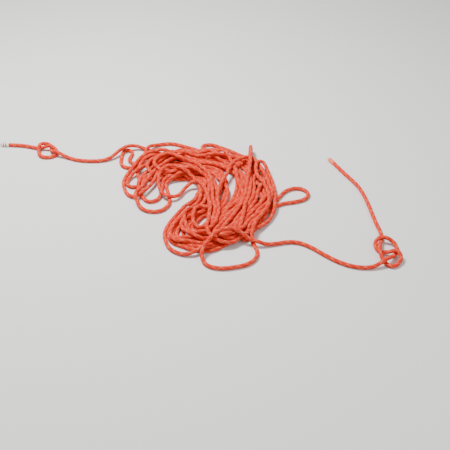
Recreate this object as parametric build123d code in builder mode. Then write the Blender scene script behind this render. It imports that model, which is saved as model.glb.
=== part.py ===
"""Dynamic climbing rope, lying in a loose horseshoe heap with both ends run out and knotted.

Frame: +X to the right along the rope's spread, +Y away from the reader, +Z up.
The origin is on the ground under the heap. Millimetres.
"""

from build123d import *
import math
import os

# Driving dimensions -------------------------------------------------------------------------

ROPE_DIAMETER = 10.0
SHEATH_WALL = 1.0
STRAND_RADIUS = 0.94
INNER_STRANDS = 3
OUTER_STRANDS = 9
INNER_STRAND_RING = 1.12
OUTER_STRAND_RING = 3.02
MARKER_RADIUS = 0.28
MARKER_RING = 3.68

SLEEVE_LENGTH = 20.0
SLEEVE_WALL = 0.55
SLEEVE_GAP = 0.05
SEAL_LENGTH = 3.0
SEAL_EDGE = 1.2

HEAP_HEIGHT = 40.0
HEAP_CROWN = 13.0
CORNER_SHARE = 0.45

ROPE_RADIUS = ROPE_DIAMETER / 2
CORE_RADIUS = ROPE_RADIUS - SHEATH_WALL
END_Z = ROPE_RADIUS + SLEEVE_GAP + SLEEVE_WALL

# Where the rope runs ------------------------------------------------------------------------
# Each route is the rope's centreline. Height ROPE_RADIUS lies on the ground, and about 18
# carries the rope over another strand.

LEFT_ROUTE = [
    (-640, 252, END_Z), (-600, 251, END_Z), (-558, 244, END_Z),
    # overhand knot
    (-536, 236, 5.0), (-521, 233, 4.9), (-494, 233, 17.5), (-478, 226, 13.0),
    (-468, 212, 7.0), (-474, 198, 5.0), (-492, 190, 5.0), (-512, 194, 5.5),
    (-523, 210, 11.0), (-524, 231, 18.5), (-517, 249, 13.0), (-503, 255, 6.0),
    (-492, 246, 4.9), (-490, 230, 5.0), (-486, 215, 8.5), (-473, 204, 18.5),
    (-455, 199, 11.0),
    # out to the heap, and over the small fold beside it
    (-433, 189, 5.0), (-403, 177, 5.0), (-370, 174, 5.0), (-338, 175, 5.0), (-312, 186, 8.0),
    (-292, 208, 17.0), (-271, 229, 18.0), (-246, 238, 17.0), (-222, 228, 14.0), (-200, 208, 12.0),
    (-172, 198, 12.0),
]
LEFT_CUTS = {"left_tail": (0, 3), "left_knot": (3, 20), "left_lead": (20, 30)}

RIGHT_ROUTE = [
    (28, -112, 20.0), (54, -128, 21.0), (78, -147, 18.5), (104, -160, 10.0), (134, -157, 5.0),
    (164, -150, 5.0), (192, -154, 5.0), (220, -172, 5.0), (248, -198, 5.0), (280, -222, 5.0),
    (314, -236, 5.0), (346, -238, 5.0), (366, -233, 9.0),
    # figure-eight knot
    (386, -222, 18.5), (404, -208, 11.0), (418, -192, 4.9), (424, -173, 6.0), (415, -154, 12.0),
    (392, -145, 19.0), (376, -150, 12.0), (370, -166, 5.5), (378, -186, 4.9), (396, -193, 11.0),
    (417, -192, 18.5), (427, -207, 12.0), (418, -225, 5.5), (400, -236, 5.0), (385, -223, 4.9),
    (378, -205, 11.0), (377, -186, 18.5), (381, -166, 12.0), (391, -146, 4.9), (396, -126, 5.0),
    # out to the free end
    (392, -100, 5.0), (384, -68, END_Z), (379, -28, END_Z), (372, 14, END_Z), (361, 58, END_Z),
    (344, 100, END_Z), (325, 141, END_Z), (305, 181, END_Z),
]
RIGHT_CUTS = {"right_lead": (0, 12), "right_knot": (12, 32), "right_tail": (32, 40)}

# Bights of the heap that lie clear of it. Both ends of each one run into the heap.
BIGHTS = {
    "small_fold": [
        (-198, 160, 5.0), (-222, 150, 5.0), (-246, 137, 5.0), (-269, 137, 5.0), (-286, 152, 5.0),
        (-291, 176, 5.0), (-290, 200, 5.0), (-283, 220, 5.0), (-267, 227, 5.0), (-255, 215, 5.0),
        (-258, 196, 5.0), (-262, 178, 5.0), (-252, 164, 5.0), (-234, 164, 5.0), (-208, 178, 5.0),
    ],
    "far_bight": [
        (44, 190, 5.0), (20, 216, 5.0), (-3, 237, 5.0), (-26, 250, 5.0), (-45, 252, 5.0),
        (-58, 243, 5.0), (-58, 230, 5.0), (-46, 221, 5.0), (-24, 208, 5.0), (2, 190, 5.0),
    ],
    "near_left_bight": [
        (-206, 128, 5.0), (-234, 131, 5.0), (-256, 112, 5.0), (-265, 84, 5.0), (-261, 54, 5.0),
        (-246, 30, 5.0), (-224, 20, 5.0), (-205, 32, 5.0), (-194, 58, 5.0), (-186, 90, 5.0),
    ],
    "lower_left_bight": [
        (-219, 100, 6.0), (-221, 70, 10.0), (-219, 44, 16.5), (-217, 16, 17.5), (-216, -10, 8.0),
        (-203, -30, 5.0), (-180, -40, 5.0), (-156, -36, 5.0), (-139, -18, 5.0), (-138, 8, 5.0),
        (-146, 36, 5.0), (-152, 66, 5.0), (-150, 96, 5.0),
    ],
    "inner_left_bight": [
        (-172, 100, 5.0), (-172, 72, 8.0), (-165, 44, 14.0), (-152, 20, 18.0), (-132, 8, 17.5),
        (-112, 20, 8.0), (-102, 44, 5.0), (-94, 68, 5.0), (-82, 94, 5.0),
    ],
    "outer_turn": [
        (-98, -76, 5.0), (-123, -98, 5.0), (-137, -127, 5.0), (-137, -157, 5.0), (-121, -181, 5.0),
        (-96, -195, 5.0), (-68, -198, 5.0), (-42, -187, 5.0), (-16, -170, 5.0),
    ],
    "near_bight": [
        (-6, -138, 15.0), (-26, -152, 17.0), (-41, -172, 18.5), (-48, -194, 16.5), (-45, -216, 5.0),
        (-28, -234, 5.0), (0, -240, 5.0), (30, -236, 5.0), (60, -227, 5.0), (81, -209, 5.0),
        (85, -182, 5.0), (78, -156, 5.0), (72, -130, 5.0), (78, -102, 5.0),
    ],
    "side_bight": [
        (96, -40, 17.0), (118, -22, 17.5), (142, -10, 18.0), (168, -5, 9.0), (194, 0, 5.0),
        (218, 10, 5.0), (229, 30, 5.0), (216, 50, 5.0), (192, 54, 5.0), (168, 42, 5.0),
        (152, 20, 5.0), (136, -4, 5.0), (116, -24, 5.0),
    ],
}

HEAP_OUTLINE = [
    (-240, 128), (-238, 168), (-222, 208), (-180, 236), (-130, 246), (-84, 232), (-48, 212),
    (-8, 202), (32, 206), (74, 206), (104, 186), (124, 146), (138, 98), (145, 46), (142, -8),
    (126, -56), (100, -96), (66, -126), (22, -150), (-26, -170), (-72, -174), (-108, -158),
    (-126, -126), (-120, -92), (-94, -56), (-64, -22), (-46, 10), (-46, 44), (-64, 74),
    (-104, 84), (-152, 78), (-196, 76), (-228, 92),
]


def shorter_run(before, corner, after):
    """Length of the shorter of the two straight runs that meet at a corner."""
    return min((corner - before).length, (after - corner).length)


def corner_radius(before, corner, after):
    """Largest arc that the two runs allow: their tangent points lie 0.45 of the shorter run in."""
    turn = (corner - before).get_angle(after - corner)
    return CORNER_SHARE * shorter_run(before, corner, after) / math.tan(math.radians(turn) / 2)


def stretch_corners(route, first, last):
    """Points and radii from the middle of run first to the middle of run last of a route.

    A stretch that starts at the route's first point, or ends at its last one, keeps that point.
    """
    points = [Vector(*point) for point in route]
    radii = [corner_radius(*points[i - 1:i + 2]) for i in range(first + 1, last)]
    start = points[0] if first == 0 else (points[first] + points[first + 1]) * 0.5
    end = points[-1] if last == len(route) - 1 else (points[last] + points[last - 1]) * 0.5
    return [start, *points[first + 1:last], end], radii


def polygon_corners(outline):
    """Radii for every corner of a closed outline."""
    points = [Vector(x, y, 0) for x, y in outline]
    around = [points[-1], *points, points[0]]
    return [corner_radius(*around[i:i + 3]) for i in range(len(points))]


def check_volume(name, solid, area, length):
    """Print a swept piece's volume beside its section times its length."""
    print(f"{name}: volume {solid.volume:.0f} mm3, section times length {area * length:.0f} mm3")


os.makedirs("parts", exist_ok=True)

# The heap: the outer shape of the turns that lie on and against each other ---------------------

with BuildPart() as rope_heap:
    with BuildSketch(Plane.XY):
        with BuildLine():
            FilletPolyline(*HEAP_OUTLINE, radius=polygon_corners(HEAP_OUTLINE), close=True)
        make_face()
    extrude(amount=HEAP_HEIGHT)
    chamfer(rope_heap.edges().group_by(Axis.Z)[-1], HEAP_CROWN)
rope_heap.part.label = "rope_heap"
export_step(rope_heap.part, "parts/rope_heap.step")

# The rope outside the heap: a braided sheath over a core of plied strands, with a marker thread --

stretches = {}
for route, cuts in ((LEFT_ROUTE, LEFT_CUTS), (RIGHT_ROUTE, RIGHT_CUTS)):
    for name, (first, last) in cuts.items():
        stretches[name] = stretch_corners(route, first, last)
for name, route in BIGHTS.items():
    stretches[name] = stretch_corners(route, 0, len(route) - 1)

INTO_HEAP = {"left_lead", "right_lead", *BIGHTS}
SEALED_START = {"left_tail"}
SEALED_END = {"right_tail"}

for name, (points, radii) in stretches.items():
    print(f"{name}: radii", [round(radius) for radius in radii])
    if name in SEALED_START:
        points[0] = points[0] + (points[1] - points[0]).normalized() * SEAL_LENGTH
    if name in SEALED_END:
        points[-1] = points[-1] + (points[-2] - points[-1]).normalized() * SEAL_LENGTH

    with BuildPart() as sheath:
        with BuildLine() as path:
            FilletPolyline(*points, radius=radii)
        with BuildSketch(Plane(origin=path.line @ 0, z_dir=path.line % 0)) as ring:
            Circle(ROPE_RADIUS)
            Circle(CORE_RADIUS, mode=Mode.SUBTRACT)
        sweep()
        check_volume(name, sheath.part, ring.sketch.area, path.wires()[0].length)
        if name in INTO_HEAP:
            add(rope_heap.part, mode=Mode.SUBTRACT)
    sheath.part.label = f"{name}_sheath"
    export_step(sheath.part, f"parts/{name}_sheath.step")

    with BuildPart() as core:
        with BuildLine() as path:
            FilletPolyline(*points, radius=radii)
        with BuildSketch(Plane(origin=path.line @ 0, z_dir=path.line % 0)):
            with PolarLocations(INNER_STRAND_RING, INNER_STRANDS):
                Circle(STRAND_RADIUS)
            with PolarLocations(OUTER_STRAND_RING, OUTER_STRANDS):
                Circle(STRAND_RADIUS)
        sweep()
        if name in INTO_HEAP:
            add(rope_heap.part, mode=Mode.SUBTRACT)
    core.part.label = f"{name}_core_strands"
    export_step(core.part, f"parts/{name}_core_strands.step")

    with BuildPart() as marker:
        with BuildLine() as path:
            FilletPolyline(*points, radius=radii)
        with BuildSketch(Plane(origin=path.line @ 0, z_dir=path.line % 0)):
            with PolarLocations(MARKER_RING, 1, start_angle=180 / OUTER_STRANDS):
                Circle(MARKER_RADIUS)
        sweep()
        if name in INTO_HEAP:
            add(rope_heap.part, mode=Mode.SUBTRACT)
    marker.part.label = f"{name}_marker_thread"
    export_step(marker.part, f"parts/{name}_marker_thread.step")

# What is on the two ends: the melted seal and the shrunk-on sleeve -------------------------------

END_RUNS = {
    "left": (Vector(*LEFT_ROUTE[0]), Vector(*LEFT_ROUTE[1])),
    "right": (Vector(*RIGHT_ROUTE[-1]), Vector(*RIGHT_ROUTE[-2])),
}
for side, (tip, inward) in END_RUNS.items():
    into_rope = (inward - tip).normalized()
    tip_plane = Plane(origin=tip, z_dir=into_rope)

    with BuildPart() as end_seal:
        with BuildSketch(tip_plane):
            Circle(ROPE_RADIUS)
        extrude(amount=SEAL_LENGTH)
        rim = end_seal.edges().filter_by(GeomType.CIRCLE).sort_by_distance(tip - into_rope)[0]
        fillet(rim, SEAL_EDGE)
    end_seal.part.label = f"{side}_end_seal"
    export_step(end_seal.part, f"parts/{side}_end_seal.step")

    with BuildPart() as end_sleeve:
        with BuildSketch(tip_plane.offset(SEAL_LENGTH)):
            Circle(ROPE_RADIUS + SLEEVE_GAP + SLEEVE_WALL)
            Circle(ROPE_RADIUS + SLEEVE_GAP, mode=Mode.SUBTRACT)
        extrude(amount=SLEEVE_LENGTH)
    end_sleeve.part.label = f"{side}_end_sleeve"
    export_step(end_sleeve.part, f"parts/{side}_end_sleeve.step")
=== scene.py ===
"""Looks of a dynamic climbing rope that lies in a loose horseshoe heap, both ends run out and knotted.

Metres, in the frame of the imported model: +X right, +Y away, +Z up, ground at Z = 0.
"""

import math

import bpy
import numpy as np
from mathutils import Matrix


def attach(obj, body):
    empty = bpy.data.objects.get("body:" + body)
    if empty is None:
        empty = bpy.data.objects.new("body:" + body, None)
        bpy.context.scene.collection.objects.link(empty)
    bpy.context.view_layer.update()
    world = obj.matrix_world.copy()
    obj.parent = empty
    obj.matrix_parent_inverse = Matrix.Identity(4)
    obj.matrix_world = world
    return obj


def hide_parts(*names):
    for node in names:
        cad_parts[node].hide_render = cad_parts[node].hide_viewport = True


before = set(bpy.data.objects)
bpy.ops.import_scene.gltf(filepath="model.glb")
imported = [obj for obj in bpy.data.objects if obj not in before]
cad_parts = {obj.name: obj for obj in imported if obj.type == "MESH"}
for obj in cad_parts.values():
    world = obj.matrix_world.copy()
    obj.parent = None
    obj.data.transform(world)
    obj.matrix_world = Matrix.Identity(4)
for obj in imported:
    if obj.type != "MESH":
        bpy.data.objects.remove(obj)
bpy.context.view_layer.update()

# Camera: it looks down on the rope from standing height, over the near edge of its ground sheet.
# A normal lens, with its axis a little over 40 degrees below the horizon.
CAMERA_PLACE = (0.008, -1.288, 1.11)
CAMERA_DIP = 42.7
LENS_MM = 52.0

camera_data = bpy.data.cameras.new("camera")
camera_data.lens = LENS_MM
camera_data.sensor_width = 36.0
camera = bpy.data.objects.new("camera", camera_data)
camera.location = CAMERA_PLACE
camera.rotation_euler = (math.radians(90.0 - CAMERA_DIP), 0.0, 0.0)
bpy.context.scene.collection.objects.link(camera)
bpy.context.scene.camera = camera

# Route of the rope: one length of 10 mm kernmantle rope. The left end has a loose overhand knot,
# the right end a figure-eight, and between them the rope is flaked in turns that bend like a
# horseshoe, which are laid down one after another and settle on each other.
ROPE_DIAMETER = 0.010
ROPE_RADIUS = ROPE_DIAMETER / 2

LEFT_ROUTE = [
    (-0.64, 0.252, 0.0056), (-0.615, 0.251, 0.0056), (-0.587, 0.249, 0.0056),
    (-0.558, 0.244, 0.0056), (-0.536, 0.236, 0.005),
    (-0.521, 0.233, 0.0049), (-0.494, 0.233, 0.0175), (-0.478, 0.226, 0.013),
    (-0.468, 0.212, 0.007), (-0.474, 0.198, 0.005), (-0.492, 0.19, 0.005), (-0.512, 0.194, 0.0055),
    (-0.523, 0.21, 0.011), (-0.524, 0.231, 0.0185), (-0.517, 0.249, 0.013), (-0.503, 0.255, 0.006),
    (-0.492, 0.246, 0.0049), (-0.49, 0.23, 0.005), (-0.486, 0.215, 0.0085),
    (-0.473, 0.204, 0.0185), (-0.455, 0.199, 0.011), (-0.433, 0.189, 0.005),
    (-0.403, 0.177, 0.005), (-0.37, 0.174, 0.005), (-0.338, 0.175, 0.005), (-0.312, 0.186, 0.008),
    (-0.292, 0.208, 0.017), (-0.271, 0.229, 0.018), (-0.246, 0.238, 0.017), (-0.222, 0.228, 0.014),
    (-0.2, 0.208, 0.012), (-0.172, 0.198, 0.012),
]
RIGHT_ROUTE = [
    (0.018, -0.138, 0.02), (0.04, -0.143, 0.021), (0.064, -0.153, 0.019), (0.086, -0.161, 0.0165),
    (0.108, -0.162, 0.0065),
    (0.134, -0.157, 0.005), (0.164, -0.15, 0.005), (0.192, -0.154, 0.005), (0.22, -0.172, 0.005),
    (0.248, -0.198, 0.005), (0.28, -0.222, 0.005), (0.314, -0.236, 0.005), (0.346, -0.238, 0.005),
    (0.366, -0.233, 0.009), (0.386, -0.222, 0.0185), (0.404, -0.208, 0.011),
    (0.418, -0.192, 0.0049), (0.424, -0.173, 0.006), (0.415, -0.154, 0.012),
    (0.392, -0.145, 0.019), (0.376, -0.15, 0.012), (0.37, -0.166, 0.0055), (0.378, -0.186, 0.0049),
    (0.396, -0.193, 0.011), (0.417, -0.192, 0.0185), (0.427, -0.207, 0.012),
    (0.418, -0.225, 0.0055), (0.4, -0.236, 0.005), (0.385, -0.223, 0.0049), (0.378, -0.205, 0.011),
    (0.377, -0.186, 0.0185), (0.381, -0.166, 0.012), (0.391, -0.146, 0.0049),
    (0.394, -0.122, 0.005), (0.39, -0.098, 0.005), (0.385, -0.066, 0.0056), (0.382, -0.032, 0.0056),
    (0.378, 0.004, 0.0056), (0.371, 0.042, 0.0056), (0.361, 0.072, 0.0056), (0.347, 0.096, 0.0056),
    (0.332, 0.124, 0.0056), (0.317, 0.154, 0.0056), (0.301, 0.183, 0.0056),
]

# The turns of the heap run between an inner and an outer guide, both from the left bights to the
# bottom ones. Each row says how far out of the inner guide a turn's far run lies, then its near
# run at the bottom and at the left.
INNER_GUIDE = [
    (-0.17, 0.108), (-0.135, 0.11), (-0.1, 0.106), (-0.072, 0.09), (-0.056, 0.062), (-0.053, 0.03),
    (-0.062, -0.004), (-0.08, -0.032), (-0.1, -0.058), (-0.114, -0.086), (-0.12, -0.112),
]
OUTER_GUIDE = [
    (-0.185, 0.205), (-0.12, 0.226), (-0.045, 0.207), (0.038, 0.2), (0.102, 0.164), (0.13, 0.092),
    (0.136, 0.008), (0.114, -0.064), (0.062, -0.122), (0.002, -0.156), (-0.046, -0.178),
]
TURN_SHARES = [
    (0.50, 0.12, 0.40), (0.92, 0.02, 0.18), (0.62, 0.08, 0.30), (1.00, 0.00, 0.05),
    (0.45, 0.20, 0.46), (0.56, 0.01, 0.12), (0.68, 0.07, 0.34),
    (0.97, -0.02, 0.02), (0.42, 0.26, 0.42), (0.82, 0.04, 0.14),
]
# Bights at the left, from the near run to the far run of each turn, and at the bottom, from the
# far run to the near run.
LEFT_BIGHTS = [
    [(-0.184, 0.13), (-0.204, 0.146), (-0.202, 0.17), (-0.182, 0.184)],
    [(-0.176, 0.15), (-0.198, 0.166), (-0.214, 0.19), (-0.221, 0.209), (-0.215, 0.229),
     (-0.202, 0.242), (-0.18, 0.252), (-0.152, 0.257), (-0.128, 0.251), (-0.104, 0.24),
     (-0.066, 0.22)],
    [(-0.208, 0.178), (-0.234, 0.164), (-0.252, 0.164), (-0.262, 0.178), (-0.258, 0.196),
     (-0.255, 0.215), (-0.267, 0.227), (-0.28, 0.222), (-0.284, 0.202), (-0.284, 0.178),
     (-0.281, 0.157), (-0.266, 0.144), (-0.245, 0.144), (-0.222, 0.154), (-0.198, 0.164)],
    [(-0.19, 0.1), (-0.214, 0.084), (-0.23, 0.112), (-0.23, 0.152), (-0.205, 0.182)],
    [(-0.186, 0.102), (-0.212, 0.064), (-0.246, 0.06), (-0.256, 0.082), (-0.24, 0.114),
     (-0.205, 0.152)],
    [(-0.148, 0.092), (-0.16, 0.048), (-0.166, 0.012), (-0.19, -0.001), (-0.212, 0.02),
     (-0.219, 0.066), (-0.2, 0.128)],
    [(-0.16, 0.098), (-0.192, 0.104), (-0.208, 0.136), (-0.192, 0.166)],
    [(-0.172, 0.118), (-0.19, 0.064), (-0.214, 0.024), (-0.247, 0.028), (-0.265, 0.08),
     (-0.25, 0.132), (-0.212, 0.168)],
    [(-0.15, 0.084), (-0.144, 0.034), (-0.136, -0.006), (-0.156, -0.036), (-0.192, -0.037),
     (-0.214, -0.012), (-0.216, 0.034), (-0.196, 0.1)],
    [(-0.15, 0.1), (-0.176, 0.108), (-0.19, 0.134), (-0.178, 0.164), (-0.14, 0.178)],
]
BOTTOM_BIGHTS = [
    [(-0.066, -0.128), (-0.084, -0.114), (-0.086, -0.092)],
    [(-0.022, -0.162), (-0.06, -0.166), (-0.094, -0.158), (-0.114, -0.136), (-0.112, -0.106)],
    [(-0.052, -0.138), (-0.084, -0.138), (-0.1, -0.112), (-0.096, -0.082)],
    [(-0.014, -0.172), (-0.056, -0.174), (-0.088, -0.156), (-0.116, -0.148), (-0.127, -0.124),
     (-0.118, -0.092)],
    [(-0.054, -0.122), (-0.072, -0.112), (-0.078, -0.086), (-0.068, -0.052)],
    [(-0.058, -0.136), (-0.086, -0.15), (-0.113, -0.144), (-0.122, -0.118), (-0.11, -0.078)],
    [(-0.03, -0.134), (-0.06, -0.146), (-0.09, -0.136), (-0.103, -0.108), (-0.098, -0.076)],
    [(-0.008, -0.164), (-0.045, -0.184), (-0.083, -0.197), (-0.122, -0.177), (-0.135, -0.136),
     (-0.123, -0.086), (-0.086, -0.03)],
    [(-0.05, -0.116), (-0.068, -0.104), (-0.074, -0.076), (-0.062, -0.04)],
    [(-0.04, -0.156), (-0.074, -0.16), (-0.104, -0.148), (-0.117, -0.12), (-0.108, -0.086)],
]
# The last turns, which lie on top, with the far, side and near bights that run clear of the heap.
TOP_TURNS = [
    (-0.114, 0.156), (-0.083, 0.142), (-0.057, 0.113), (-0.038, 0.078), (-0.027, 0.04),
    (-0.024, -0.004), (-0.021, -0.047), (-0.019, -0.078), (-0.019, -0.108), (-0.017, -0.13),
    (-0.004, -0.146), (0.013, -0.146), (0.027, -0.13), (0.042, -0.112), (0.06, -0.075),
    (0.079, -0.047), (0.099, -0.013), (0.115, 0.023), (0.125, 0.066), (0.122, 0.105),
    (0.111, 0.134), (0.094, 0.158), (0.072, 0.177), (0.051, 0.192), (0.028, 0.216),
    (-0.003, 0.237), (-0.026, 0.25), (-0.045, 0.252), (-0.058, 0.243), (-0.058, 0.23),
    (-0.046, 0.221), (-0.024, 0.206), (0.008, 0.173), (0.026, 0.147), (0.038, 0.115),
    (0.047, 0.087), (0.054, 0.055), (0.055, 0.023), (0.048, -0.007), (0.035, -0.034),
    (0.018, -0.063), (0, -0.091), (-0.013, -0.117), (-0.019, -0.135), (-0.009, -0.151),
    (0.008, -0.151), (0.022, -0.135), (0.036, -0.113), (0.051, -0.082), (0.067, -0.046),
    (0.084, -0.009), (0.095, 0.028), (0.107, 0.057), (0.114, 0.09), (0.112, 0.116), (0.1, 0.123),
    (0.089, 0.105), (0.086, 0.068), (0.087, 0.032), (0.08, -0.019), (0.061, -0.054),
    (0.041, -0.082), (0.023, -0.11), (0.007, -0.127), (-0.002, -0.146), (0.007, -0.157),
    (0.022, -0.153), (0.033, -0.135), (0.042, -0.105), (0.053, -0.073), (0.063, -0.032),
    (0.07, 0.009), (0.074, 0.053), (0.076, 0.098),
]

# A fold that stands on edge behind the heap, where one turn comes back on top of itself.
EDGE_FOLD = [
    (0.078, 0.192, 0.018), (0.079, 0.207, 0.012), (0.08, 0.222, 0.006), (0.081, 0.223, 0.022),
    (0.081, 0.208, 0.027), (0.081, 0.193, 0.033),
]
LAST_TURNS = [
    (0.078, 0.093), (0.076, 0.054), (0.068, 0.019), (0.051, -0.017), (0.033, -0.05),
    (0.014, -0.08), (-0.003, -0.108), (-0.014, -0.132), (-0.01, -0.151), (0.005, -0.154),
    (0.022, -0.143), (0.037, -0.122), (0.055, -0.095), (0.074, -0.069), (0.094, -0.046),
    (0.116, -0.026), (0.136, -0.004), (0.152, 0.02), (0.168, 0.042), (0.192, 0.054), (0.216, 0.05),
    (0.229, 0.03), (0.218, 0.01), (0.196, 0), (0.174, -0.005), (0.152, -0.011), (0.129, -0.028),
    (0.111, -0.043), (0.092, -0.06), (0.073, -0.088), (0.057, -0.115), (0.047, -0.134),
    (0.052, -0.147), (0.067, -0.137), (0.076, -0.117), (0.085, -0.092), (0.097, -0.063),
    (0.111, -0.03), (0.121, 0.01), (0.122, 0.047), (0.114, 0.086), (0.106, 0.114), (0.097, 0.14),
    (0.084, 0.156), (0.067, 0.161), (0.051, 0.156), (0.037, 0.14), (0.024, 0.121), (0.012, 0.09),
    (-0.002, 0.053), (-0.01, 0.021), (-0.012, -0.015), (-0.012, -0.054), (-0.016, -0.086),
    (-0.024, -0.112), (-0.039, -0.129), (-0.056, -0.137), (-0.073, -0.137), (-0.084, -0.122),
    (-0.096, -0.07), (-0.078, -0.04), (-0.062, -0.008), (-0.056, 0.026), (-0.062, 0.058),
    (-0.08, 0.084), (-0.104, 0.102), (-0.132, 0.116), (-0.156, 0.112), (-0.17, 0.084),
    (-0.167, 0.048), (-0.154, 0.02), (-0.133, 0.008), (-0.114, 0.018), (-0.104, 0.038),
    (-0.092, 0.054), (-0.077, 0.064), (-0.062, 0.061), (-0.05, 0.046), (-0.042, 0.022),
    (-0.036, -0.006), (-0.032, -0.037), (-0.032, -0.068), (-0.034, -0.098), (-0.034, -0.125),
    (-0.028, -0.147), (-0.015, -0.157), (0.001, -0.16), (0.018, -0.159), (0.033, -0.152),
    (0.048, -0.138), (0.065, -0.125), (0.083, -0.111), (0.103, -0.094), (0.122, -0.07),
    (0.134, -0.037), (0.138, 0), (0.139, 0.039), (0.134, 0.077), (0.123, 0.114), (0.113, 0.136),
    (0.097, 0.136), (0.091, 0.106), (0.098, 0.068), (0.111, 0.037), (0.12, 0.005), (0.12, -0.029),
    (0.109, -0.058), (0.093, -0.08), (0.08, -0.102), (0.072, -0.123), (0.072, -0.146),
    (0.082, -0.17), (0.086, -0.192), (0.078, -0.212), (0.06, -0.227), (0.03, -0.236), (0, -0.24),
    (-0.028, -0.234), (-0.045, -0.216), (-0.048, -0.194), (-0.04, -0.177), (-0.024, -0.16),
    (-0.004, -0.147),
]
FOLD_TURN = 2
LOOP_TURN = 1
SPACING = 0.014
HANG_HEIGHT = 0.065
LAY_STEPS = 520
REST_STEPS = 60
LET_DOWN = 0.0012
MOST_BEND = 0.0068
LOWER_GIVES = 0.2
FIRST_FREE = 3
LAST_FREE = 2
PULL_TO_PLAN = 0.015
TOP_PULL = 0.15
CONTACT_AT = np.array([0.0, 1 / 3, 2 / 3])
NEIGHBOUR_SPAN = 5

chance = np.random.default_rng(5)


def guide_run(share_start, share_end, first, last, sway):
    """Points of one run: inner guide plus share times the way to the outer guide.

    The share goes evenly from start to end, with two slow sine waves of random phase added.
    """
    inner, outer = np.array(INNER_GUIDE), np.array(OUTER_GUIDE)
    along = np.linspace(0.0, 1.0, len(inner))
    share = share_start + (share_end - share_start) * along
    slow = np.sin(2 * np.pi * (chance.uniform(0.6, 1.3) * along + chance.uniform()))
    quick = np.sin(2 * np.pi * (2.3 * along + chance.uniform()))
    share = share + sway * (0.07 * slow + 0.03 * quick)
    return list((inner + (outer - inner) * share[:, None])[first:last])


def evenly(points, spacing):
    """Points evenly spaced on the Catmull-Rom curve through the given ones."""
    p = np.array(points, float)
    p = np.vstack([2 * p[0] - p[1], p, 2 * p[-1] - p[-2]])
    a, b, c, d = (p[k:len(p) - 3 + k, None] for k in range(4))
    t = np.linspace(0.0, 1.0, 24, endpoint=False)[None, :, None]
    curve = 0.5 * (2 * b + (c - a) * t + (2 * a - 5 * b + 4 * c - d) * t**2
                   + (3 * b - a - 3 * c + d) * t**3)
    curve = np.vstack([curve.reshape(-1, p.shape[1]), p[-2:-1]])
    run = np.r_[0.0, np.cumsum(np.linalg.norm(np.diff(curve, axis=0), axis=1))]
    marks = np.linspace(0.0, run[-1], round(run[-1] / spacing) + 1)
    return np.stack([np.interp(marks, run, axis) for axis in curve.T], 1)


def lay_turns():
    """Plan of the turns under the top ones, as evenly spaced points."""
    plan = [np.array((-0.150, 0.206))] + guide_run(0.80, TURN_SHARES[0][0], 1, 9, 1.0)
    for turn, (far, near_bottom, near_left) in enumerate(TURN_SHARES):
        plan += BOTTOM_BIGHTS[turn]
        plan += guide_run(near_left, near_bottom, 3, 8, 0.5)[::-1]
        plan += LEFT_BIGHTS[turn]
        if turn + 1 < len(TURN_SHARES):
            next_far = TURN_SHARES[turn + 1][0]
            first = 3 if turn == LOOP_TURN else 1
            plan += guide_run(0.5 * (next_far + 0.6), next_far, first, 9, 1.0)
    return evenly(plan, SPACING)


def contact_weights():
    """Weights of three route points in each contact point: the quadratic B-spline's own."""
    t = CONTACT_AT
    return np.stack([(1 - t)**2 / 2, (1 + 2 * t - 2 * t**2) / 2, t**2 / 2], 1)


def on_line(route, weights):
    """Contact points, on the rope's line: weighted sums of each three route points in a row."""
    threes = np.stack([route[:-2], route[1:-1], route[2:]])
    return np.einsum("mj,jkx->kmx", weights, threes).reshape(-1, 3)


def to_route(moves, weights, count):
    """Moves of contact points shared out to the route points by the same weights."""
    moves = moves.reshape(count - 2, len(weights), -1)
    shared = np.zeros((count, moves.shape[2]))
    for j in range(3):
        shared[j:count - 2 + j] += np.einsum("kmx,m->kx", moves, weights[:, j])
    return shared


def near_pairs(line, reach):
    """Pairs of contact points nearer than reach, and not next to each other along the rope."""
    line = line.astype(np.float32)
    square = (line**2).sum(1)
    gaps = square[:, None] + square[None] - 2 * line @ line.T
    one, other = np.nonzero(gaps < reach**2)
    apart = other - one > NEIGHBOUR_SPAN
    return one[apart], other[apart]


def push_apart(route, free, weights, one, other):
    """One pass that moves free route points until touching stretches are a diameter apart.

    The stretch that was laid first gives way least, so the ones below stay where they are.
    """
    line = on_line(route, weights)
    gap = line[one] - line[other]
    reach = np.linalg.norm(gap, axis=1)
    close = reach < ROPE_DIAMETER
    a, b, reach = one[close], other[close], np.maximum(reach[close], 1e-6)
    push = gap[close] * ((ROPE_DIAMETER - reach) / reach)[:, None]
    size = len(line)
    moves = np.stack([LOWER_GIVES * np.bincount(a, push[:, k], size)
                      - (1.0 - LOWER_GIVES) * np.bincount(b, push[:, k], size)
                      for k in range(3)], 1)
    touches = np.bincount(a, minlength=size) + np.bincount(b, minlength=size)
    moves /= np.sqrt(np.maximum(touches, 1))[:, None]
    shared = to_route(moves, weights, len(route))
    share = to_route((touches > 0).astype(float), weights, len(route))
    route[free] += (shared / np.maximum(share, 0.25))[free]
    route[:, 2] = np.maximum(route[:, 2], ROPE_RADIUS)


def unbend(route, free):
    """Eases each free point towards the middle of its neighbours where it stands too far out."""
    middle = 0.5 * (route[:-2] + route[2:]) - route[1:-1]
    out = np.linalg.norm(middle, axis=1)
    ease = (np.maximum(out - MOST_BEND, 0.0) / np.maximum(out, MOST_BEND))[:, None] * middle
    eased = route.copy()
    eased[1:-1] += 0.5 * ease
    eased[:-2] -= 0.25 * ease
    eased[2:] -= 0.25 * ease
    route[free] = eased[free]


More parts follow.
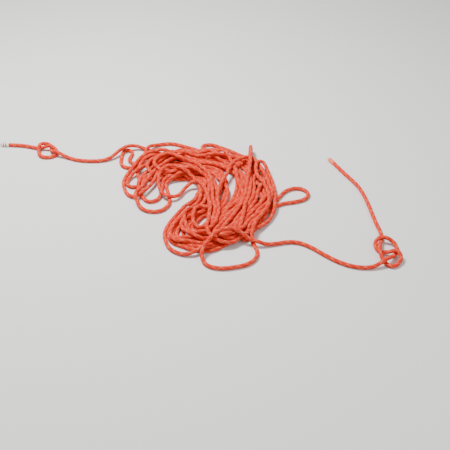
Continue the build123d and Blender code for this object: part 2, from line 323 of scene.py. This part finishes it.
def settle(route, free):
    """Lays the free points down in order, each stretch from a little above onto those before it.

    Sideways they are drawn back to their plan, the last-laid ones most, and stiffness evens out
    each point's height and bend with its two neighbours.
    """
    weights = contact_weights()
    plan = route[:, :2].copy()
    plan_bend = plan[:-2] - 2 * plan[1:-1] + plan[2:]
    place = np.linspace(0.0, 1.0, len(route))[:, None]
    pull = PULL_TO_PLAN + TOP_PULL * place**8
    for step in range(LAY_STEPS + REST_STEPS):
        laid = 40 + round(min(step / LAY_STEPS, 1.0) * (len(route) - 40))
        moving = free & (np.arange(len(route)) < laid)
        if step % 8 == 0:
            one, other = near_pairs(on_line(route[:laid], weights), ROPE_DIAMETER * 1.9)
        route[moving, 2] -= LET_DOWN * (1.0 if step < LAY_STEPS else 0.2)
        route[moving, :2] += pull[moving] * (plan[moving] - route[moving, :2])
        for _ in range(3):
            push_apart(route, moving, weights, one, other)
        unbend(route, moving)
        middle = 0.5 * (route[:-2] + route[2:]) - route[1:-1]
        eased = route.copy()
        eased[1:-1, 2] += 0.25 * middle[:, 2]
        eased[1:-1, :2] += 0.10 * (middle[:, :2] - 0.5 * plan_bend)
        route[moving] = eased[moving]
        route[:, 2] = np.maximum(route[:, 2], ROPE_RADIUS)
    for _ in range(20):
        unbend(route, free)
        push_apart(route, free, weights, one, other)
    return route


low_turns = lay_turns()
edge_fold = np.array(EDGE_FOLD)
parts = [low_turns[1:], evenly(TOP_TURNS, SPACING), edge_fold[:, :2], evenly(LAST_TURNS, SPACING)]
turns = np.vstack(parts)
laid = np.full(len(turns), HANG_HEIGHT)
fold_line = evenly(LEFT_BIGHTS[FOLD_TURN], 0.004)
from_fold = np.linalg.norm(turns[:, None] - fold_line[None], axis=2).min(1)
in_turn = np.abs(np.arange(len(turns)) / len(low_turns) - (FOLD_TURN + 1) / len(TURN_SHARES)) < 0.06
fold = (from_fold < 0.004) & (turns[:, 0] < -0.212) & in_turn
laid[fold] = ROPE_RADIUS
edge = len(parts[0]) + len(parts[1])
laid[edge:edge + len(edge_fold)] = edge_fold[:, 2]
fold[edge:edge + len(edge_fold)] = True
last = np.arange(len(turns)) > 0.95 * len(turns)
near_bight = last & ((turns[:, 1] < -0.218) | (turns[:, 0] > 0.05) & (turns[:, 1] < -0.142))
laid[near_bight] = ROPE_RADIUS
fold |= near_bight
left = np.array(LEFT_ROUTE)
right = np.array(RIGHT_ROUTE)
route = np.vstack([left[:-1], np.column_stack([turns, laid]), right])
start, end = len(left) - 1, len(left) - 1 + len(turns)
route[end:end + LAST_FREE, 2] = HANG_HEIGHT
free = np.zeros(len(route), bool)
free[start - FIRST_FREE:end + LAST_FREE] = True
free[start:end] = ~fold
route = settle(route, free)


def nurbs_line(points, name):
    """Fine points of the open NURBS spline of order 3 whose control points are the route."""
    curve = bpy.data.curves.new(name, "CURVE")
    curve.dimensions = "3D"
    curve.resolution_u = 8
    spline = curve.splines.new("NURBS")
    spline.points.add(len(points) - 1)
    spline.points.foreach_set("co", np.column_stack([points, np.ones(len(points))]).ravel())
    spline.order_u = 3
    spline.use_endpoint_u = True
    holder = bpy.data.objects.new(name, curve)
    mesh = bpy.data.meshes.new_from_object(holder)
    line = np.empty(len(mesh.vertices) * 3)
    mesh.vertices.foreach_get("co", line)
    bpy.data.objects.remove(holder)
    bpy.data.curves.remove(curve)
    bpy.data.meshes.remove(mesh)
    return line.reshape(-1, 3)


rope_line = nurbs_line(route, "rope_route")
rope_run = np.r_[0.0, np.cumsum(np.linalg.norm(np.diff(rope_line, axis=0), axis=1))]
ROPE_LENGTH = float(rope_run[-1])
print(f"rope length {ROPE_LENGTH:.3f} m, top of heap {rope_line[:, 2].max() + ROPE_RADIUS:.4f} m")


def level_sides(line):
    """Side directions along a line, carried on without twist from a level one at its start.

    Each is the one before it, less its part along the next tangent, at unit length.
    """
    tangent = np.gradient(line, axis=0)
    tangent /= np.linalg.norm(tangent, axis=1)[:, None]
    sides = np.empty_like(tangent)
    side = np.cross(tangent[0], (0.0, 0.0, 1.0))
    for k, way in enumerate(tangent):
        side = side - way * (side @ way)
        side /= math.sqrt(side @ side)
        sides[k] = side
    return tangent, sides


rope_tangent, rope_side = level_sides(rope_line)


def at_run(runs):
    """Centre, tangent, side and top directions of the rope at distances from its left end."""
    centre, tangent, side = (np.stack([np.interp(runs, rope_run, axis) for axis in values.T], 1)
                             for values in (rope_line, rope_tangent, rope_side))
    tangent /= np.linalg.norm(tangent, axis=1)[:, None]
    side -= tangent * (side * tangent).sum(1)[:, None]
    side /= np.linalg.norm(side, axis=1)[:, None]
    return centre, tangent, side, np.cross(side, tangent)


def ring_mesh(name, rings, uvs=None, cap_start=True, cap_end=True):
    """Mesh through rings, an array of rings by sides by 3, closed round each ring.

    The first and last rings are closed by one flat face each. uvs holds each layer's u and v for
    every ring line and side line, with one side line more than there are sides.
    """
    count, sides = rings.shape[:2]
    ring, side = np.meshgrid(np.arange(count - 1), np.arange(sides), indexing="ij")
    after = (side + 1) % sides
    quads = np.stack([ring * sides + side, ring * sides + after,
                      (ring + 1) * sides + after, (ring + 1) * sides + side], -1).reshape(-1, 4)
    faces = quads.tolist()
    if cap_start:
        faces.append(list(range(sides))[::-1])
    if cap_end:
        faces.append(list(range((count - 1) * sides, count * sides)))
    mesh = bpy.data.meshes.new(name)
    mesh.from_pydata(rings.reshape(-1, 3).tolist(), [], faces)
    mesh.polygons.foreach_set("use_smooth", [True] * len(quads) + [False] * (cap_start + cap_end))
    for layer, grid in (uvs or {}).items():
        corners = np.stack([grid[ring, side], grid[ring, side + 1],
                            grid[ring + 1, side + 1], grid[ring + 1, side]], 2).reshape(-1, 2)
        spare = np.tile(corners[:1], (len(mesh.loops) - len(corners), 1))
        mesh.uv_layers.new(name=layer).data.foreach_set("uv", np.vstack([corners, spare]).ravel())
    mesh.update()
    thing = bpy.data.objects.new(name, mesh)
    bpy.context.scene.collection.objects.link(thing)
    return thing


class Socket:
    """A node socket that takes part in Python arithmetic by adding Math nodes."""

    def __init__(self, material, link):
        self.material = material
        self.link = link

    def maths(self, operation, *others):
        node = self.material.tree.nodes.new("ShaderNodeMath")
        node.operation = operation
        for slot, value in zip(node.inputs, (self, *others)):
            self.material.feed(slot, value)
        return Socket(self.material, node.outputs[0])

    def __add__(self, other):
        return self.maths("ADD", other)

    __radd__ = __add__

    def __mul__(self, other):
        return self.maths("MULTIPLY", other)

    __rmul__ = __mul__

    def __sub__(self, other):
        return self.maths("SUBTRACT", other)

    def __rsub__(self, other):
        return (self * -1.0) + other


class Finish:
    """A material under construction: node() adds any node, and surface sets the shader."""

    def __init__(self, name):
        self.made = bpy.data.materials.new(name)
        self.made.use_nodes = True
        self.tree = self.made.node_tree
        self.surface = self.tree.nodes["Principled BSDF"]

    def feed(self, slot, value):
        if isinstance(value, Socket):
            self.tree.links.new(value.link, slot)
        else:
            slot.default_value = value

    def node(self, kind, settings=None, output=0, **values):
        """Adds a node, makes its settings, then fills its sockets by name."""
        node = self.tree.nodes.new("ShaderNode" + kind)
        for name, value in (settings or {}).items():
            setattr(node, name, value)
        for name, value in values.items():
            self.feed(node.inputs[name.replace("_", " ")], value)
        return Socket(self, node.outputs[output])

    def mix(self, share, low, high):
        """Colour mix from low to high by share."""
        node = self.tree.nodes.new("ShaderNodeMix")
        node.data_type = "RGBA"
        self.feed(node.inputs[0], share)
        self.feed(node.inputs[6], low)
        self.feed(node.inputs[7], high)
        return Socket(self, node.outputs[2])

    def relief(self, height, distance):
        """Bump of a height from 0 to 1 times a distance, on the surface's normal."""
        bump = self.node("Bump", Height=height, Distance=distance, Strength=1.0)
        self.feed(self.surface.inputs["Normal"], bump)


# Sheath: the braided polyamide tube round the core, in orange-red yarn with a few paler carriers
# that show as regular flecks. Two families of yarn wind opposite ways and pass over and under
# each other in pairs.
SHEATH_SIDES = 14
RING_SPACING = 0.0042
YARNS_EACH_WAY = 20
YARN_PITCH = 0.78
SHEATH_ORANGE = (0.93, 0.032, 0.008, 1.0)
# Painted shade: the deep red that the yarn colour darkens to in the grooves between yarns.
SHEATH_GROOVE_SHADE = (0.28, 0.004, 0.002, 1.0)
SHEATH_PALE = (1.00, 0.27, 0.12, 1.0)
SHEATH_WORN = (1.00, 0.07, 0.02, 1.0)


def make_sheath(run):
    """The sheath's tube, a ring at each distance of run, with its braid map.

    In the braid map u counts girths along the rope and v goes once round it.
    """
    centre, _, side, top = at_run(run)
    angle = 2 * np.pi * np.arange(SHEATH_SIDES) / SHEATH_SIDES
    out = (np.cos(angle)[None, :, None] * side[:, None] + np.sin(angle)[None, :, None] * top[:, None])
    girth = math.pi * ROPE_DIAMETER
    along = np.repeat((run / girth)[:, None], SHEATH_SIDES + 1, 1)
    around = np.repeat(np.linspace(0.0, 1.0, SHEATH_SIDES + 1)[None], len(run), 0)
    return ring_mesh("rope_sheath", centre[:, None] + ROPE_RADIUS * out,
                     {"braid": np.stack([along, around], -1)})


def sheath_finish():
    """Braid in the braid map: two sets of slanted yarns, the cell's parity says which is up, and the
    grooves get painted shade.
    """
    cloth = Finish("braided_sheath")
    place = cloth.node("UVMap", {"uv_map": "braid"})
    parts = cloth.tree.nodes.new("ShaderNodeSeparateXYZ")
    cloth.feed(parts.inputs[0], place)
    along, around = Socket(cloth, parts.outputs[0]), Socket(cloth, parts.outputs[1])
    right_hand = (around + along * YARN_PITCH) * float(YARNS_EACH_WAY)
    left_hand = (around - along * YARN_PITCH) * float(YARNS_EACH_WAY)
    right_index, left_index = right_hand.maths("FLOOR"), left_hand.maths("FLOOR")
    right_up = ((right_index + left_index) * 0.5).maths("FRACT").maths("GREATER_THAN", 0.25)
    right_across = (right_hand.maths("FRACT") * math.pi).maths("SINE")
    left_across = (left_hand.maths("FRACT") * math.pi).maths("SINE")
    height = right_up * (right_across * 0.65 + left_across * 0.35) \
        + (1.0 - right_up) * (left_across * 0.65 + right_across * 0.35)
    right_pale = (right_index * (1.0 / 10.0)).maths("FRACT").maths("LESS_THAN", 0.19)
    left_pale = (left_index * (1.0 / 20.0)).maths("FRACT").maths("LESS_THAN", 0.09)
    pale = right_up * right_pale + (1.0 - right_up) * left_pale
    worn = cloth.node("TexNoise", {"noise_dimensions": "3D"}, Scale=60.0, Detail=3.0)
    # Painted shade: the colour goes from orange on the yarn crowns to deep red in the grooves, by the
    # braid's height.
    body = cloth.mix(height.maths("POWER", 0.8), SHEATH_GROOVE_SHADE, SHEATH_ORANGE)
    body = cloth.mix(worn * 0.25, body, SHEATH_WORN)
    colour = cloth.mix(pale * 0.75, body, SHEATH_PALE)
    cloth.feed(cloth.surface.inputs["Base Color"], colour)
    cloth.feed(cloth.surface.inputs["Roughness"], 0.82 - height * 0.16)
    cloth.surface.inputs["Sheen Weight"].default_value = 0.02
    cloth.surface.inputs["Sheen Roughness"].default_value = 0.4
    cloth.surface.inputs["Specular IOR Level"].default_value = 0.2
    cloth.relief(height, 0.0006)
    return cloth.made


sheath_run = np.linspace(0.0, ROPE_LENGTH, round(ROPE_LENGTH / RING_SPACING))
sheath = make_sheath(sheath_run)
sheath.data.materials.append(sheath_finish())
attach(sheath, "root")
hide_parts("rope_heap", *(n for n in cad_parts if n.endswith("_sheath")))

# Core: twelve plied strands of undyed polyamide, twisted, three in the middle and nine round
# them. Only the stretches outside the heap are made, because the sheath hides all of them.
STRAND_RADIUS = 0.00094
STRAND_RINGS = ((3, 0.00112), (9, 0.00302))
TWIST_PITCH = 0.11
STRAND_SIDES = 6
STRAND_SPACING = 0.007
HIDDEN_ENDS = 0.004
LEFT_OPEN = 0.62
RIGHT_OPEN = 0.95


def strand_rings(run, ring_radius, phase, radius, sides, pitch):
    """Rings of one strand: a helix of that radius and pitch about the rope's line."""
    centre, _, side, top = at_run(run)
    turn = phase + 2 * np.pi * run / pitch
    middle = centre + ring_radius * (np.cos(turn)[:, None] * side + np.sin(turn)[:, None] * top)
    angle = 2 * np.pi * np.arange(sides) / sides
    out = np.cos(angle)[None, :, None] * side[:, None] + np.sin(angle)[None, :, None] * top[:, None]
    return middle[:, None] + radius * out


def join(name, things):
    """One object from several meshes, all in the same place."""
    bpy.ops.object.select_all(action="DESELECT")
    for thing in things:
        thing.select_set(True)
    bpy.context.view_layer.objects.active = things[0]
    bpy.ops.object.join()
    things[0].name = name
    things[0].data.name = name
    return things[0]


def core_runs(spacing):
    """Distances along the two stretches of rope outside the heap."""
    left_end = np.arange(HIDDEN_ENDS, LEFT_OPEN, spacing)
    right_end = np.arange(ROPE_LENGTH - RIGHT_OPEN, ROPE_LENGTH - HIDDEN_ENDS, spacing)
    return left_end, right_end


def core_finish():
    yarn = Finish("plied_core")
    spot = yarn.node("TexCoord", output=3)
    wave = yarn.node("TexWave", {"wave_type": "BANDS"}, Vector=spot, Scale=900.0, Distortion=0.6)
    wave = Socket(yarn, wave.link.node.outputs[1])
    yarn.feed(yarn.surface.inputs["Base Color"],
              yarn.mix(wave, (0.72, 0.70, 0.64, 1.0), (0.88, 0.87, 0.82, 1.0)))
    yarn.surface.inputs["Roughness"].default_value = 0.8
    return yarn.made


strands = []
for count, ring_radius in STRAND_RINGS:
    for k in range(count):
        for run in core_runs(STRAND_SPACING):
            rings = strand_rings(run, ring_radius, 2 * math.pi * k / count, STRAND_RADIUS,
                                 STRAND_SIDES, TWIST_PITCH)
            strands.append(ring_mesh(f"strand_{len(strands)}", rings))
core = join("core_strands", strands)
core.data.materials.append(core_finish())
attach(core, "root")
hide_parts(*(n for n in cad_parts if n.endswith("_core_strands")))

# Marker thread: a thin dyed yarn laid between the outer strands, with their twist.
MARKER_RADIUS = 0.00028
MARKER_RING = 0.00368


def marker_finish():
    dyed = Finish("marker_yarn")
    fibre = dyed.node("TexNoise", Scale=4000.0, Detail=2.0)
    dyed.feed(dyed.surface.inputs["Base Color"],
              dyed.mix(fibre, (0.02, 0.08, 0.30, 1.0), (0.06, 0.18, 0.52, 1.0)))
    dyed.surface.inputs["Roughness"].default_value = 0.75
    return dyed.made


threads = [ring_mesh(f"thread_{k}", strand_rings(run, MARKER_RING, math.radians(20.0), MARKER_RADIUS,
                                                 STRAND_SIDES, TWIST_PITCH))
           for k, run in enumerate(core_runs(STRAND_SPACING))]
marker = join("marker_thread", threads)
marker.data.materials.append(marker_finish())
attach(marker, "root")
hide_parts(*(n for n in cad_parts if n.endswith("_marker_thread")))

# End seals: the cut ends of core and sheath melted into one blunt, slightly domed plug.
SEAL_LENGTH = 0.003
SEAL_SIDES = 28


def turned_along(from_left, profile):
    """Surface of revolution about the rope's line: profile is distance from the tip and radius."""
    distance, radius = np.array(profile).T
    run = distance if from_left else ROPE_LENGTH - distance
    centre, tangent, side, top = at_run(np.clip(run, 0.0, ROPE_LENGTH))
    centre = centre + tangent * (run - np.clip(run, 0.0, ROPE_LENGTH))[:, None]
    angle = 2 * np.pi * np.arange(SEAL_SIDES) / SEAL_SIDES
    if not from_left:
        angle = -angle
    out = np.cos(angle)[None, :, None] * side[:, None] + np.sin(angle)[None, :, None] * top[:, None]
    return centre[:, None] + radius[:, None, None] * out


def seal_finish():
    melt = Finish("melted_end")
    blotch = melt.node("TexNoise", Scale=420.0, Detail=4.0)
    melt.feed(melt.surface.inputs["Base Color"],
              melt.mix(blotch, (0.78, 0.36, 0.24, 1.0), (0.90, 0.70, 0.58, 1.0)))
    melt.feed(melt.surface.inputs["Roughness"], 0.35 + blotch * 0.25)
    melt.relief(blotch, 0.0004)
    return melt.made


seal_profile = [(-0.0002, 0.0006), (0.0, 0.0026), (0.0004, 0.0041), (0.0012, 0.0050),
                (0.0024, 0.0052), (0.0034, 0.0049)]
melted = seal_finish()
for end, from_left in (("left", True), ("right", False)):
    seal = ring_mesh(f"{end}_end_seal_looks", turned_along(from_left, seal_profile))
    seal.data.materials.append(melted)
    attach(seal, "root")
    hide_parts(f"{end}_end_seal")

# End sleeves: heat-shrink film drawn tight over the last of the sheath, with a rolled edge. The
# left one is pale with two plain dark bands, and the right one is tinted close to the sheath.
SLEEVE_START = 0.0026
SLEEVE_END = 0.0235
SLEEVE_OUTER = 0.0056
SLEEVE_INNER = 0.00508
EDGE_ROLL = 0.0008
RIPPLE_DEPTH = 0.00008
RIPPLE_RATE = 2400.0
BAND_PLACES = (0.30, 0.62)
BAND_HALF = 0.07
FILM_SHADE = (0.78, 0.72, 0.66, 1.0)
FILM_PALE = (0.90, 0.87, 0.82, 1.0)
FILM_BAND = (0.30, 0.02, 0.015, 1.0)
TINT_SHADE = (0.86, 0.10, 0.04, 1.0)
TINT_PALE = (0.92, 0.24, 0.13, 1.0)


def sleeve_finish(name, low, high, band):
    """Cloudy film between two colours, with two bands across it."""
    film = Finish(name)
    place = film.node("UVMap", {"uv_map": "film"})
    parts = film.tree.nodes.new("ShaderNodeSeparateXYZ")
    film.feed(parts.inputs[0], place)
    along = Socket(film, parts.outputs[0])
    first, second = ((along - place).maths("ABSOLUTE").maths("LESS_THAN", BAND_HALF)
                     for place in BAND_PLACES)
    cloud = film.node("TexNoise", Scale=160.0, Detail=3.0)
    base = film.mix(cloud, low, high)
    film.feed(film.surface.inputs["Base Color"], film.mix(first + second, base, band))
    film.feed(film.surface.inputs["Roughness"], 0.30 + cloud * 0.2)
    film.relief(cloud, 0.0002)
    return film.made


films = {
    "left": sleeve_finish("pale_film", FILM_SHADE, FILM_PALE, FILM_BAND),
    "right": sleeve_finish("tinted_film", TINT_SHADE, TINT_PALE, TINT_SHADE),
}
sleeve_along = np.linspace(SLEEVE_START, SLEEVE_END, 22)
ripple = RIPPLE_DEPTH * np.sin(sleeve_along * RIPPLE_RATE)
edge = np.minimum(sleeve_along - SLEEVE_START, SLEEVE_END - sleeve_along) / EDGE_ROLL
sleeve_radius = SLEEVE_INNER + (SLEEVE_OUTER - SLEEVE_INNER) * np.sqrt(np.clip(edge, 0.0, 1.0)) + ripple
sleeve_profile = np.column_stack([sleeve_along, sleeve_radius])
for end, from_left in (("left", True), ("right", False)):
    share = np.repeat(np.linspace(0.0, 1.0, len(sleeve_along))[:, None], SEAL_SIDES + 1, 1)
    around = np.repeat(np.linspace(0.0, 1.0, SEAL_SIDES + 1)[None], len(sleeve_along), 0)
    sleeve = ring_mesh(f"{end}_end_sleeve_looks", turned_along(from_left, sleeve_profile),
                       {"film": np.stack([share, around], -1)})
    sleeve.data.materials.append(films[end])
    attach(sleeve, "root")
    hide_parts(f"{end}_end_sleeve")

at_run(sheath_run)[0].tolist()

# Ground: a plain pale sheet, and soft studio light from above and both sides.
GROUND_HALF = 3.0
KEY_WATTS = 88.0
FILL_WATTS = 14.0
ROOM_LIGHT = 0.52

ground_mesh = bpy.data.meshes.new("ground")
ground_mesh.from_pydata([(-GROUND_HALF, -GROUND_HALF, 0), (GROUND_HALF, -GROUND_HALF, 0),
                         (GROUND_HALF, GROUND_HALF, 0), (-GROUND_HALF, GROUND_HALF, 0)],
                        [], [(0, 1, 2, 3)])
ground = bpy.data.objects.new("ground", ground_mesh)
bpy.context.scene.collection.objects.link(ground)
paper = Finish("ground_paper")
paper.surface.inputs["Base Color"].default_value = (0.72, 0.71, 0.69, 1.0)
paper.surface.inputs["Roughness"].default_value = 0.9
ground_mesh.materials.append(paper.made)


def soft_light(name, place, size, watts, aim):
    """A square area light at a place, turned to face a point."""
    lamp = bpy.data.lights.new(name, "AREA")
    lamp.size = size
    lamp.energy = watts
    holder = bpy.data.objects.new(name, lamp)
    holder.location = place
    way = np.array(aim) - np.array(place)
    flat = math.hypot(way[0], way[1])
    holder.rotation_euler = (math.atan2(flat, -way[2]), 0.0, math.atan2(way[1], way[0]) - math.pi / 2)
    bpy.context.scene.collection.objects.link(holder)


soft_light("key_light", (-0.7, 0.5, 1.9), 0.6, KEY_WATTS, (0.0, 0.0, 0.0))
soft_light("fill_light", (1.3, -0.9, 1.5), 1.6, FILL_WATTS, (0.0, 0.0, 0.0))
world = bpy.data.worlds.new("studio")
world.use_nodes = True
world.node_tree.nodes["Background"].inputs["Color"].default_value = (0.9, 0.92, 0.95, 1.0)
world.node_tree.nodes["Background"].inputs["Strength"].default_value = ROOM_LIGHT
bpy.context.scene.world = world
